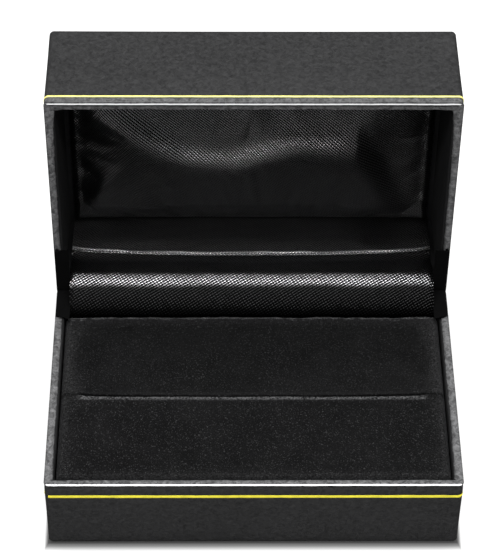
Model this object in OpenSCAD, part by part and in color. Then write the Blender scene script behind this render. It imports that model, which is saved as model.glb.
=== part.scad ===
// Hinged double ring box: leatherette over steel shells, satin-lined lid, velvet ring pad.
// Origin at the centre of the underside, +X to the right, front towards -Y, +Z up.
// The lid is drawn shut and then swung open about the hinge axis.

/* [Box] */
// Overall width, side to side
box_w = 76; // [70:1:90]
// Overall depth, front to back
box_d = 49; // [44:0.5:60]
// Height of the base, from its underside to its rim
base_h = 17.2; // [16:0.2:22]
// Height of the lid, from its rim to its top
lid_h = 21; // [19:0.5:26]
// Radius of the upright corners
corner_r = 1; // [0.8:0.1:1.6]
// How far the lid stands open
open_angle = 92; // [88:0.5:93]

/* [Walls] */
// Thickness of the leatherette
wrap_t = 0.35; // [0.3:0.05:0.4]
// Thickness of the steel shells
shell_t = 0.6; // [0.5:0.1:0.8]
// Depth to which the leatherette is turned in behind the rim
turn_in = 8; // [4:0.5:10]
// Thickness of the black card lining strips
liner_t = 0.5; // [0.4:0.1:0.6]
// Gap between the two rims when the box is shut
rim_gap = 0.2; // [0.1:0.05:0.3]

/* [Gold lines] */
// Width of the foil line on the base
base_line_w = 0.7; // [0.4:0.1:1]
// Distance from the base's rim to the middle of its line
base_line_drop = 3.3; // [2:0.1:5]
// Width of the foil line on the lid
lid_line_w = 0.45; // [0.3:0.05:0.8]
// Distance from the lid's rim to the middle of its line
lid_line_drop = 2; // [1.5:0.1:4]

/* [Hinge] */
// Radius of the hinge pin
pin_r = 0.5; // [0.4:0.05:0.55]
// Outer radius of the hinge knuckles
knuckle_r = 1.15; // [1.05:0.05:1.2]
// Thickness of the hinge leaves
leaf_t = 0.5; // [0.4:0.05:0.6]
// Number of knuckles along the hinge
knuckles = 9; // [5:2:11]
// Width of the snap spring
spring_w = 16; // [10:1:20]

/* [Ring pad] */
// Depth of the velvet surface below the rim
velvet_drop = 0.9; // [0.6:0.1:2]
// Distance of the ring slot in front of the middle of the box
slot_forward = 2.2; // [0:0.2:5]
// Length of the ring slot
slot_w = 65; // [50:1:66]
// Width of the ring slot between its velvet walls
slot_gap = 0.8; // [0.6:0.1:1.2]
// Thickness of the velvet
velvet_t = 0.5; // [0.4:0.1:0.6]

/* [Lid lining] */
// Rise of the satin cushion from its board
cushion_rise = 5; // [3:0.5:6]
// Thickness of the satin
satin_t = 0.4; // [0.3:0.05:0.5]
// Distance from the lid's rim to the folded edge of the satin flap
flap_set_back = 9; // [7.5:0.1:9.5]

/* [Hidden] */
$fn = 48;
over = 1;                                // how far a cutting shape passes a face

// Walls, as distances in from the outer faces
shell_inset = wrap_t;
cavity_inset = wrap_t + shell_t;
wall_t = 2 * wrap_t + shell_t;
lining_inset = wall_t + liner_t;

// Heights of the base
bottom_sheet_t = 0.3;
base_skin_z = bottom_sheet_t;
base_shell_z = base_skin_z + wrap_t;
base_floor_z = base_shell_z + shell_t;
flange_w = 5;                            // leatherette turned under the base

// Heights of the shut lid
lid_rim_z = base_h + rim_gap;
lid_top_z = lid_rim_z + lid_h;
lid_ceiling_z = lid_top_z - wrap_t - shell_t;

// Hinge
hinge_y = box_d / 2 - 1.2;
hinge_z = base_h + rim_gap / 2;
notch_r = 1.4;                           // room around the knuckles
notch_angle = 48;                        // slope of the bevelled back edges
bore_r = pin_r + 0.03;
barrel_l = box_w - 6;
barrel_room = 0.8;                       // room at each end of the knuckles
knuckle_gap = 0.2;
pitch = (barrel_l + knuckle_gap) / knuckles;
leaf_w = barrel_l - 2;
leaf_l = 9;                              // from the axis to the leaf's edge
leaf_edge = notch_r + 0.05;              // from the axis to the leaf's knuckle side
leaf_y = box_d / 2 - cavity_inset;       // the face of the back wall
rivet_x = [-28, -16, 16, 28];
rivet_reach = 6.9;
rivet_r = 0.7;
rivet_head_r = 1.2;
rivet_head_t = 0.5;
base_wrap_stop = 6;                      // turned-in leatherette ends this far from the hinge
lid_wrap_stop = 11;

// Gold lines
foil_t = 0.08;
line_end_y = box_d / 2 - corner_r;

// Linings
liner_drop = 0.5;
base_liner_z = base_h - liner_drop;
liner_end_y = box_d / 2 - lining_inset;

// Ring pad
pad_gap = 0.3;                           // clear space between the pad and the lining
pad_w = box_w - 2 * (lining_inset + pad_gap);
pad_front_y = -box_d / 2 + lining_inset + pad_gap;
pad_back_y = hinge_y - 5.3;
pad_top_z = base_h - velvet_drop;
board_t = 0.8;
board_z = 9.2;
pad_base_z = board_z + board_t;
slot_y = -slot_forward;
slot_depth = 5;
pad_r = 1;

// Lid cushion and flap
cushion_gap = 0.9;                       // clear space between the cushion and the lining
cushion_w = box_w - 2 * (lining_inset + cushion_gap);
cushion_z = lid_ceiling_z - board_t;
flap_h = 1.65;                           // from the hinge axis to the flap
cushion_back_y = hinge_y - flap_h - satin_t;
cushion_front_y = -box_d / 2 + lining_inset + cushion_gap;
cushion_d = cushion_back_y - cushion_front_y;
cushion_y = (cushion_back_y + cushion_front_y) / 2;
cushion_edge = 0.85;
crown_w = 0.74;                          // flat top of the cushion, as shares of its sides
crown_d = 0.6;
hem_r = 0.45;

// Rectangle with round corners
module rounded_rect(w, d, r) {
    square([w - 2 * r, d], center = true);
    square([w, d - 2 * r], center = true);
    for (x = [-1, 1], y = [-1, 1])
        translate([x * (w / 2 - r), y * (d / 2 - r)])
            circle(r);
}

// Upright block, inset from the outer faces of the box
module block(inset, z0, z1) {
    translate([0, 0, z0])
        linear_extrude(z1 - z0)
            rounded_rect(box_w - 2 * inset, box_d - 2 * inset, max(corner_r - inset, 0.2));
}

// Box from its lowest corner to its highest
module span(low, high) {
    translate(low)
        cube(high - low);
}

// Keeps what is in front of a plane across the box
module in_front_of(y) {
    intersection() {
        children();
        span([-box_w, -box_d, -over], [box_w, y, lid_top_z + over]);
    }
}

// Carries a profile drawn in (y, z) along the width of the box
module across(w) {
    rotate([90, 0, 90])
        linear_extrude(w, center = true)
            children();
}

// Room for the hinge knuckles, with both back edges bevelled so that the lid can swing
module hinge_notch() {
    reach = 4;
    translate([0, hinge_y, hinge_z]) {
        across(barrel_l + 2 * barrel_room)
            circle(notch_r);
        across(box_w + 2 * over)
            polygon([[0, 0], [reach, reach * tan(notch_angle)], [reach, -reach * tan(notch_angle)]]);
    }
}

// Swings the shut lid open about the hinge axis
module opened() {
    translate([0, hinge_y, hinge_z])
        rotate([-open_angle, 0, 0])
            translate([0, -hinge_y, -hinge_z])
                children();
}

// U of strip around the front and sides, from one inset to the next
module u_strip(outer, inner, z0, z1, end_y) {
    in_front_of(end_y)
        difference() {
            block(outer, z0, z1);
            block(inner, z0 - over, z1 + over);
        }
}

// Foil line around the front and sides
module foil_line(z, w) {
    u_strip(0, foil_t, z - w / 2, z + w / 2, line_end_y);
}

// Hinge leaf with its knuckles; upward leaves belong to the lid
module hinge_leaf(up, first) {
    side = up ? 1 : -1;
    difference() {
        union() {
            translate([-leaf_w / 2, leaf_y - leaf_t, hinge_z + (up ? leaf_edge : -leaf_l)])
                cube([leaf_w, leaf_t, leaf_l - leaf_edge]);
            for (i = [first:2:knuckles - 1])
                translate([-barrel_l / 2 + i * pitch, 0, 0]) {
                    translate([0, hinge_y, hinge_z])
                        rotate([0, 90, 0])
                            cylinder(h = pitch - knuckle_gap, r = knuckle_r);
                    translate([0, leaf_y - leaf_t, hinge_z + (up ? 0 : -leaf_edge - over)])
                        cube([pitch - knuckle_gap, leaf_t, leaf_edge + over]);
                }
        }
        translate([-box_w, hinge_y, hinge_z])
            rotate([0, 90, 0])
                cylinder(h = 2 * box_w, r = bore_r);
        rivet_holes(side);
        for (x = [-1, 1])
            translate([x * (leaf_w / 2 + 5), leaf_y - leaf_t / 2, hinge_z + side * (knuckle_r + 4.9)])
                cube(10, center = true);
    }
}

// Holes for the rivets that fasten a leaf to its back wall
module rivet_holes(side) {
    for (x = rivet_x)
        translate([x, leaf_y - leaf_t - over, hinge_z + side * rivet_reach])
            rotate([-90, 0, 0])
                cylinder(h = leaf_t + shell_t + 2 * over, r = rivet_r);
}

module hinge_rivets(side) {
    for (x = rivet_x)
        translate([x, leaf_y - leaf_t, hinge_z + side * rivet_reach])
            rotate([-90, 0, 0]) {
                cylinder(h = leaf_t + shell_t, r = rivet_r);
                translate([0, 0, -rivet_head_t])
                    cylinder(h = rivet_head_t, r = rivet_head_r);
            }
}

// Domed cushion, set in from the cushion's outline
module cushion(inset, rise) {
    hull() {
        translate([0, cushion_y, cushion_z - cushion_edge + inset])
            linear_extrude(cushion_edge - inset)
                square([cushion_w - 2 * inset, cushion_d - 2 * inset], center = true);
        translate([0, cushion_y, cushion_z - rise])
            linear_extrude(rise)
                square([crown_w * cushion_w, crown_d * cushion_d], center = true);
    }
}

module base_shell() {
    color("#1b1b1c")
        difference() {
            block(shell_inset, base_shell_z, base_h - wrap_t);
            block(cavity_inset, base_floor_z, base_h + over);
            hinge_notch();
            rivet_holes(-1);
        }
}

module base_wrap() {
    color("#2c2c2d")
        difference() {
            union() {
                difference() {
                    block(0, base_skin_z, base_h);
                    block(shell_inset, base_shell_z, base_h + over);
                    block(flange_w, 0, base_shell_z + over);
                }
                u_strip(shell_inset / 2, wall_t, base_h - wrap_t, base_h, hinge_y - base_wrap_stop);
                u_strip(cavity_inset, wall_t, base_h - turn_in, base_h, hinge_y - base_wrap_stop);
            }
            hinge_notch();
            foil_line(base_h - base_line_drop, base_line_w);
        }
}

module base_gold_line() {
    color("#e8d24a")
        foil_line(base_h - base_line_drop, base_line_w);
}

module base_bottom_sheet() {
    color("#252526")
        block(1.5, 0, bottom_sheet_t);
}

module base_liner() {
    color("#121213")
        difference() {
            u_strip(wall_t, lining_inset, base_floor_z, base_liner_z, liner_end_y);
            hinge_notch();
        }
}

// Folded card platform that carries the ring pad
module insert_board() {
    color("#6d6a66") {
        span([-pad_w / 2, pad_front_y, board_z], [pad_w / 2, pad_back_y, pad_base_z]);
        span([-pad_w / 2, pad_front_y, base_floor_z], [pad_w / 2, pad_front_y + board_t, board_z]);
        span([-pad_w / 2, pad_back_y - board_t, base_floor_z], [pad_w / 2, pad_back_y, board_z]);
    }
}

module foam_block(y0, y1) {
    half_w = pad_w / 2 - velvet_t;
    color("#3a3a3c")
        span([-half_w, y0, pad_base_z], [half_w, y1, pad_top_z - velvet_t]);
}

module front_pad_foam() {
    foam_block(pad_front_y + velvet_t, slot_y - slot_gap / 2 - velvet_t);
}

module rear_pad_foam() {
    foam_block(slot_y + slot_gap / 2 + velvet_t, pad_back_y - velvet_t);
}

module ring_pad_velvet() {
    color("#141415")
        difference() {
            translate([0, (pad_front_y + pad_back_y) / 2, pad_base_z])
                linear_extrude(pad_top_z - pad_base_z)
                    rounded_rect(pad_w, pad_back_y - pad_front_y, pad_r);
            front_pad_foam();
            rear_pad_foam();
            span([-slot_w / 2, slot_y - slot_gap / 2, pad_top_z - slot_depth],
                 [slot_w / 2, slot_y + slot_gap / 2, pad_top_z + over]);
        }
}

module base_hinge_leaf() {
    color("#8f9092")
        hinge_leaf(false, 0);
}

module base_hinge_rivets() {
    color("#b0b1b3")
        hinge_rivets(-1);
}

module hinge_pin() {
    head_t = 0.4;
    head_r = 0.8;
    color("#c2c3c5")
        translate([-barrel_l / 2, hinge_y, hinge_z])
            rotate([0, 90, 0]) {
                cylinder(h = barrel_l - knuckle_gap / 2, r = pin_r);
                translate([0, 0, -head_t])
                    cylinder(h = head_t, r = head_r);
                translate([0, 0, barrel_l])
                    cylinder(h = head_t, r = head_r);
                cylinder(h = barrel_l + head_t, r = pin_r);
            }
}

// Bent strip that runs from the base's leaf, around the knuckles, towards the lid's leaf
module snap_spring() {
    strip_t = 0.3;
    inner = 1.45;
    outer = inner + strip_t;
    bend = [for (a = [180:-10:90]) outer * [cos(a), sin(a)]];
    back = [for (a = [90:10:180]) inner * [cos(a), sin(a)]];
    foot = leaf_t - (leaf_y - hinge_y);
    lean = tan(open_angle - 90);
    lid_foot = foot + 0.06;
    color("#9a9b9d")
        translate([0, hinge_y, hinge_z])
            across(spring_w)
                polygon(concat(
                    [[-foot, -9], [-foot - strip_t, -9], [-foot - strip_t, -6.6], [-outer, -5]],
                    bend,
                    [[4.4, outer], [5.9, lid_foot + strip_t - 5.9 * lean], [7.7, lid_foot + strip_t - 7.7 * lean]],
                    [[7.7, lid_foot - 7.7 * lean], [5.8, lid_foot - 5.8 * lean], [4.3, inner]],
                    back,
                    [[-inner, -5.1], [-foot, -6.5]]
                ));
}

// Satin roll over the hinge, from behind the ring pad to beneath the lid's flap
module satin_hinge_strip() {
    lid_end = 10;
    front = pad_back_y - hinge_y;
    lid_rise = 1;
    front_drop = 1.6;
    arch = 3.9;
    arch_power = 1.7;
    skew = 1.35;
    steps = 24;
    run = front + satin_t - lid_end;
    top = [for (i = [0:steps])
        let (t = i / steps)
            [lid_end + t * run,
             lid_rise - t * (lid_rise + front_drop) + arch * pow(sin(180 * pow(t, skew)), arch_power)]];
    color("#202022")
        translate([0, hinge_y, hinge_z])
            across(cushion_w)
                polygon(concat(
                    top,
                    [[front, -front_drop], [front, -5], [front + satin_t, -5]],
                    [for (i = [steps:-1:0]) top[i] - [0, satin_t]]
                ));
}

module lid_shell() {
    color("#1b1b1c")
        opened()
            difference() {
                block(shell_inset, lid_rim_z + wrap_t, lid_top_z - wrap_t);
                block(cavity_inset, lid_rim_z - over, lid_ceiling_z);
                hinge_notch();
                rivet_holes(1);
            }
}

module lid_wrap() {
    rim_top_z = lid_rim_z + wrap_t;
    end_y = hinge_y - lid_wrap_stop;
    color("#2c2c2d")
        opened()
            difference() {
                union() {
                    difference() {
                        block(0, lid_rim_z, lid_top_z);
                        block(shell_inset, lid_rim_z - over, lid_top_z - wrap_t);
                    }
                    u_strip(shell_inset / 2, wall_t, lid_rim_z, rim_top_z, end_y);
                    u_strip(cavity_inset, wall_t, lid_rim_z, lid_rim_z + turn_in, end_y);
                }
                hinge_notch();
                foil_line(lid_rim_z + lid_line_drop, lid_line_w);
            }
}

module lid_gold_line() {
    color("#e6dc8c")
        opened()
            foil_line(lid_rim_z + lid_line_drop, lid_line_w);
}

module lid_liner() {
    color("#121213")
        opened()
            difference() {
                u_strip(wall_t, lining_inset, lid_rim_z + liner_drop, lid_ceiling_z, liner_end_y);
                hinge_notch();
            }
}

module lid_pad_board() {
    color("#6d6a66")
        opened()
            span([-cushion_w / 2, cushion_front_y, cushion_z],
                 [cushion_w / 2, cushion_back_y + satin_t, lid_ceiling_z]);
}

module lid_pad_wadding() {
    color("#b8b8b8")
        opened()
            cushion(satin_t, cushion_rise - satin_t);
}

module lid_satin_pad() {
    color("#202022")
        opened()
            difference() {
                cushion(0, cushion_rise);
                cushion(satin_t, cushion_rise - satin_t);
            }
}

// Satin floor of the lid, hemmed where it hangs over the hinge
module lid_satin_flap() {
    hem_z = lid_rim_z + flap_set_back;
    color("#202022")
        opened() {
            span([-cushion_w / 2, cushion_back_y, hem_z],
                 [cushion_w / 2, cushion_back_y + satin_t, cushion_z]);
            translate([0, cushion_back_y + satin_t / 2, hem_z])
                rotate([0, 90, 0])
                    cylinder(h = cushion_w, r = hem_r, center = true);
        }
}

module lid_hinge_leaf() {
    color("#8f9092")
        opened()
            hinge_leaf(true, 1);
}

module lid_hinge_rivets() {
    color("#b0b1b3")
        opened()
            hinge_rivets(1);
}

base_shell();
base_wrap();
base_gold_line();
base_bottom_sheet();
base_liner();
insert_board();
front_pad_foam();
rear_pad_foam();
ring_pad_velvet();
base_hinge_leaf();
base_hinge_rivets();
hinge_pin();
snap_spring();
satin_hinge_strip();
lid_shell();
lid_wrap();
lid_gold_line();
lid_liner();
lid_pad_board();
lid_pad_wadding();
lid_satin_pad();
lid_satin_flap();
lid_hinge_leaf();
lid_hinge_rivets();
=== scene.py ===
"""Looks of a hinged double ring box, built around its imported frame.

Lengths are in millimetres until a mesh is made. The lid's pieces are modelled shut, then swung open.
"""
import math

import bmesh
import bpy
import numpy as np
from mathutils import Matrix, Vector, noise


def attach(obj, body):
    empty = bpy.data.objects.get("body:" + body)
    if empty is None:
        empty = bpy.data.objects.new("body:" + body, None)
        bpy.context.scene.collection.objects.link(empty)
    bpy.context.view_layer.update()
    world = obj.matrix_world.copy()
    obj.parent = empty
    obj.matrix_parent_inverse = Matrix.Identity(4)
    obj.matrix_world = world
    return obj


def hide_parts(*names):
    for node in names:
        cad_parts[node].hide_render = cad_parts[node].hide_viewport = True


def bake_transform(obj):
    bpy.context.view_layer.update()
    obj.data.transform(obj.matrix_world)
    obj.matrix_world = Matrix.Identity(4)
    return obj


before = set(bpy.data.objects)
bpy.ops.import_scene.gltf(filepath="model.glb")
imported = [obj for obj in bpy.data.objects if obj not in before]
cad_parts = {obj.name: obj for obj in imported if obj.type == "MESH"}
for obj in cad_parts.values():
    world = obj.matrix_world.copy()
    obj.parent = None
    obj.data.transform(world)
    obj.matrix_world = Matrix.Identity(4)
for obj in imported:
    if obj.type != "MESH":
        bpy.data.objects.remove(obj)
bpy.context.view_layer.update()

MM = 0.001
BOX_W, BOX_D, CORNER_R = 76.0, 49.0, 1.0
BASE_H, LID_H, RIM_GAP = 17.2, 21.0, 0.2
LID_RIM_Z = BASE_H + RIM_GAP
HINGE_Y, HINGE_Z = BOX_D / 2 - 1.2, BASE_H + RIM_GAP / 2
OPEN_ANGLE = 92.0
SKIN_T = 0.35
WALL_T = 1.3
BEVEL = math.tan(math.radians(48))
FACE = 0.05                     # leatherette lies this far inside the outer faces, foil lies on it
TURN_IN = 8.0
FLANGE = 5.0                    # width of the leatherette's flat edge under the base and on the lid
BASE_SKIN_H = BASE_H - 0.3      # from the base's rim down to the sheet under it
BASE_STOP_Y, LID_STOP_Y = HINGE_Y - 6.0, HINGE_Y - 11.0


def lerp(a, b, t):
    return a + (b - a) * t


def smooth(a, b, x):
    t = np.clip((x - a) / (b - a), 0.0, 1.0)
    return t * t * (3 - 2 * t)


def wobble(x, y, z, scale):
    """Smooth noise about zero, with features of the given size."""
    return noise.noise(Vector((x / scale, y / scale, z / scale)))


# ---------------------------------------------------------------- meshes

def new_object(name, verts, faces, material, uvs=None):
    mesh = bpy.data.meshes.new(name)
    mesh.from_pydata([(x * MM, y * MM, z * MM) for x, y, z in verts], [], faces)
    if uvs is not None:
        layer = mesh.uv_layers.new(name="UVMap")
        for loop in mesh.loops:
            layer.data[loop.index].uv = uvs[loop.vertex_index]
    mesh.materials.append(material)
    obj = bpy.data.objects.new(name, mesh)
    bpy.context.scene.collection.objects.link(obj)
    return obj


def paint(obj, name, values):
    """Stores one number per point, for a material to read."""
    attribute = obj.data.attributes.new(name, "FLOAT", "POINT")
    attribute.data.foreach_set("value", np.array(values, np.float32))


def tidy_normals(obj, sharp_deg=50):
    bm = bmesh.new()
    bm.from_mesh(obj.data)
    bmesh.ops.recalc_face_normals(bm, faces=bm.faces)
    bm.to_mesh(obj.data)
    bm.free()
    obj.data.shade_smooth()
    obj.data.set_sharp_from_angle(angle=math.radians(sharp_deg))


def swing_open(obj):
    """Takes a piece of the lid from its shut place to where the open lid has it."""
    axis = Matrix.Translation((0, HINGE_Y * MM, HINGE_Z * MM))
    turn = Matrix.Rotation(math.radians(-OPEN_ANGLE), 4, "X")
    obj.data.transform(axis @ turn @ axis.inverted())


def loft(stations, section):
    """Closed solid of a section carried along stations; section(i) gives its points in space."""
    rings = [section(i) for i in range(len(stations))]
    n = len(rings[0])
    verts = [p for ring in rings for p in ring]
    faces = []
    for i in range(len(rings) - 1):
        for j in range(n):
            k = (j + 1) % n
            faces.append((i * n + j, i * n + k, (i + 1) * n + k, (i + 1) * n + j))
    faces.append(tuple(range(n - 1, -1, -1)))
    faces.append(tuple((len(rings) - 1) * n + j for j in range(n)))
    return verts, faces


def slab_faces(nx, ny):
    """Faces of a closed slab of two grids, the number of points in one grid, and the rim's points."""
    row, layer = nx + 1, (nx + 1) * (ny + 1)
    faces = []
    for first in (0, layer):
        for j in range(ny):
            for i in range(nx):
                a = first + j * row + i
                faces.append((a, a + 1, a + row + 1, a + row))
    rim = ([i for i in range(nx)] + [nx + j * row for j in range(ny)]
           + [ny * row + i for i in range(nx, 0, -1)] + [j * row for j in range(ny, 0, -1)])
    for k, a in enumerate(rim):
        b = rim[(k + 1) % len(rim)]
        faces.append((a, b, b + layer, a + layer))
    return faces, layer, rim


def strip_faces(columns, n):
    """Faces of an open sheet of columns with n points each."""
    faces = []
    for i in range(columns):
        for j in range(n - 1):
            a = i * n + j
            faces.append((a, a + 1, a + n + 1, a + n))
    return faces


# ---------------------------------------------------------------- the walls' outline

def inner_corner(s):
    """Corner radius and corner centre of the outline at inset s."""
    r = max(CORNER_R - s, 0.15)
    return r, BOX_W / 2 - s - r, BOX_D / 2 - s - r


def side_stations(sign, y0, y1, stop, count):
    """Points up a side wall; y0 and y1 may be "front" or "back" for the start of a corner's curve."""
    def make(t):
        def place(s):
            r, cx, cy = inner_corner(s)
            a = {"front": -cy, "back": cy, "stop": stop}[y0]
            b = {"front": -cy, "back": cy, "stop": stop}[y1]
            return sign * (BOX_W / 2 - s), lerp(a, b, t)
        return place
    return [make(i / count) for i in range(count + 1)]


def corner_stations(sx, sy, a0, a1, count):
    def make(angle):
        def place(s):
            r, cx, cy = inner_corner(s)
            return sx * cx + r * math.cos(angle), sy * cy + r * math.sin(angle)
        return place
    return [make(math.radians(lerp(a0, a1, i / count))) for i in range(1, count)]


def long_stations(sign_y, direction, count):
    def make(t):
        def place(s):
            r, cx, cy = inner_corner(s)
            return direction * lerp(-cx, cx, t), sign_y * (BOX_D / 2 - s)
        return place
    return [make(i / count) for i in range(count + 1)]


def front_u(stop, fine=1.0):
    """Stations from the left side's stop, round the front, to the right side's stop."""
    return (side_stations(-1, "stop", "front", stop, int(44 * fine))
            + corner_stations(-1, -1, 180, 270, 6)
            + long_stations(-1, 1, int(92 * fine))
            + corner_stations(1, -1, 270, 360, 6)
            + side_stations(1, "front", "stop", stop, int(44 * fine)))


def back_u(stop):
    """Stations from the right side's stop, round the back, to the left side's stop."""
    return (side_stations(1, "stop", "back", stop, 16)
            + corner_stations(1, 1, 0, 90, 6)
            + long_stations(1, -1, 60)
            + corner_stations(-1, 1, 90, 180, 6)
            + side_stations(-1, "back", "stop", stop, 16))


# ---------------------------------------------------------------- materials

def new_material(name):
    material = bpy.data.materials.new(name)
    material.use_nodes = True
    tree = material.node_tree
    return material, tree, tree.nodes["Principled BSDF"]


def node(tree, kind, **values):
    made = tree.nodes.new(kind)
    for key, value in values.items():
        if key in made.inputs:
            made.inputs[key].default_value = value
        else:
            setattr(made, key, value)
    return made


def mapped(tree, scale, source="Object", rotation=(0, 0, 0)):
    coords = node(tree, "ShaderNodeTexCoord")
    mapping = node(tree, "ShaderNodeMapping", Scale=scale, Rotation=rotation)
    tree.links.new(coords.outputs[source], mapping.inputs["Vector"])
    return mapping.outputs["Vector"]


def ramp(tree, value, *stops):
    made = tree.nodes.new("ShaderNodeValToRGB")
    elements = made.color_ramp.elements
    while len(elements) < len(stops):
        elements.new(0.5)
    for element, (place, colour) in zip(elements, stops):
        element.position = place
        element.color = (*colour, 1) if len(colour) == 3 else colour
    tree.links.new(value, made.inputs["Fac"])
    return made.outputs["Color"]


def bump(tree, height, strength, distance, normal=None):
    made = node(tree, "ShaderNodeBump", Strength=strength, Distance=distance)
    tree.links.new(height, made.inputs["Height"])
    if normal is not None:
        tree.links.new(normal, made.inputs["Normal"])
    return made.outputs["Normal"]


def feed(tree, socket, value):
    """Links an output to a socket, or sets the socket to a number or colour."""
    if isinstance(value, bpy.types.NodeSocket):
        tree.links.new(value, socket)
    else:
        socket.default_value = value


def math_node(tree, operation, a, b, c=0.4):
    made = node(tree, "ShaderNodeMath", operation=operation)
    for socket, value in zip(made.inputs, (a, b, c)):
        feed(tree, socket, value)
    return made.outputs[0]


def blend_colours(tree, share, a, b):
    """Colour a where share is 0, and b where it is 1."""
    made = node(tree, "ShaderNodeMix", data_type="RGBA")
    for index, value in ((0, share), (6, a), (7, b)):
        feed(tree, made.inputs[index], value)
    return made.outputs[2]


def painted(tree, name):
    """The numbers that paint() stored under this name; 0 where there are none."""
    return node(tree, "ShaderNodeAttribute", attribute_name=name).outputs["Fac"]


def noise_node(tree, where, **values):
    made = node(tree, "ShaderNodeTexNoise", **values)
    tree.links.new(where, made.inputs["Vector"])
    return made.outputs["Fac"]


def grey(value):
    return value, value, value


def set_surface(tree, shader, colour, roughness, specular=None, metallic=None, normal=None):
    """Feeds the shader; a value that is None keeps the shader's own."""
    values = {"Base Color": colour, "Roughness": roughness, "Specular IOR Level": specular,
              "Metallic": metallic, "Normal": normal}
    for socket, value in values.items():
        if value is not None:
            feed(tree, shader.inputs[socket], value)


def leather_material():
    """Grained black leatherette, with what is painted on it.

    "rim" is 1 where it is stretched over the rims and smoothed by rubbing, and its paler colour there is also a
    painted highlight;
    the edge attribute is 1 where a white highlight is painted along the rims' edge, and the shadow attribute is
    1 where a dark shadow is painted beside that edge.
    """
    material, tree, shader = new_material("black leatherette")
    where = mapped(tree, (1, 1, 1))
    cells = node(tree, "ShaderNodeTexVoronoi", Scale=1500.0, Randomness=1.0, feature="SMOOTH_F1")
    cells.inputs["Smoothness"].default_value = 0.5
    tree.links.new(where, cells.inputs["Vector"])
    creases = noise_node(tree, where, Scale=1150.0, Detail=5.0, Roughness=0.65, Distortion=0.8)
    dapple = noise_node(tree, where, Scale=60.0, Detail=3.0)
    grain = math_node(tree, "MULTIPLY_ADD", dapple, 0.15, math_node(tree, "MULTIPLY", creases, 0.85))
    plain = ramp(tree, grain, (0.36, (0.017, 0.017, 0.0174)), (0.66, (0.034, 0.034, 0.0347)))
    # rims smoothed by rubbing, and a painted highlight: the leatherette is paler where the rim attribute is set
    rubbed_and_lit = ramp(tree, creases, (0.38, (0.05, 0.05, 0.051)), (0.66, (0.18, 0.18, 0.183)))
    colour = blend_colours(tree, painted(tree, "rim"), plain, rubbed_and_lit)
    # a white highlight painted along the rims' edge, broken up by the grain
    uneven_highlight = math_node(tree, "MULTIPLY", painted(tree, "painted_edge_highlight"), math_node(tree, "ADD", creases, 0.45))
    edge = ramp(tree, uneven_highlight, (0.45, grey(0)), (0.75, grey(1)))
    colour = blend_colours(tree, edge, colour, (0.88, 0.88, 0.89, 1))
    # a dark shadow painted beside the rims' edge, under its bead
    colour = blend_colours(tree, painted(tree, "bead_shadow"), colour, (0.003, 0.003, 0.003, 1))
    rough = ramp(tree, creases, (0.3, grey(0.3)), (0.7, grey(0.45)))
    fine = bump(tree, cells.outputs["Distance"], 0.4, 0.00009)
    set_surface(tree, shader, colour, rough, specular=0.13, normal=bump(tree, creases, 0.5, 0.00012, fine))
    return material


def foil_material(name, colour):
    material, tree, shader = new_material(name)
    wear = noise_node(tree, mapped(tree, (1, 1, 1)), Scale=500.0, Detail=4.0)
    tint = ramp(tree, wear, (0.3, tuple(c * 0.8 for c in colour)), (0.65, colour))
    set_surface(tree, shader, tint, 0.42, metallic=0.1, normal=bump(tree, wear, 0.3, 0.00005))
    return material


def velvet_material():
    """Black velvet; the "brushed" attribute is 1 where a grey sheen is painted on its pile."""
    material, tree, shader = new_material("black velvet")
    where = mapped(tree, (1, 1, 1))
    pile = noise_node(tree, where, Scale=3200.0, Detail=2.0, Roughness=0.7)
    nap = noise_node(tree, where, Scale=160.0, Detail=5.0, Roughness=0.65)
    specks = noise_node(tree, where, Scale=4200.0, Detail=1.0)
    colour = ramp(tree, math_node(tree, "MULTIPLY", pile, nap),
                  (0.12, (0.0006, 0.0006, 0.0007)), (0.42, (0.0048, 0.0048, 0.005)))
    # bright specks painted as glints of the pile
    lit = ramp(tree, specks, (0.60, grey(0)), (0.80, grey(1)))
    colour = blend_colours(tree, lit, colour, (0.035, 0.035, 0.036, 1))
    # a grey sheen painted on the pile where the brushed attribute is set
    fibres = math_node(tree, "MULTIPLY_ADD", pile, 4.5, -1.65)
    pile_sheen = math_node(tree, "MULTIPLY", painted(tree, "brushed"), fibres)
    colour = blend_colours(tree, pile_sheen, colour, (0.22, 0.22, 0.224, 1))
    set_surface(tree, shader, colour, 0.95, specular=0.12, normal=bump(tree, pile, 0.6, 0.00018))
    shader.inputs["Sheen Weight"].default_value = 0.05
    shader.inputs["Sheen Roughness"].default_value = 0.35
    shader.inputs["Sheen Tint"].default_value = (0.75, 0.75, 0.8, 1)
    return material


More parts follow.
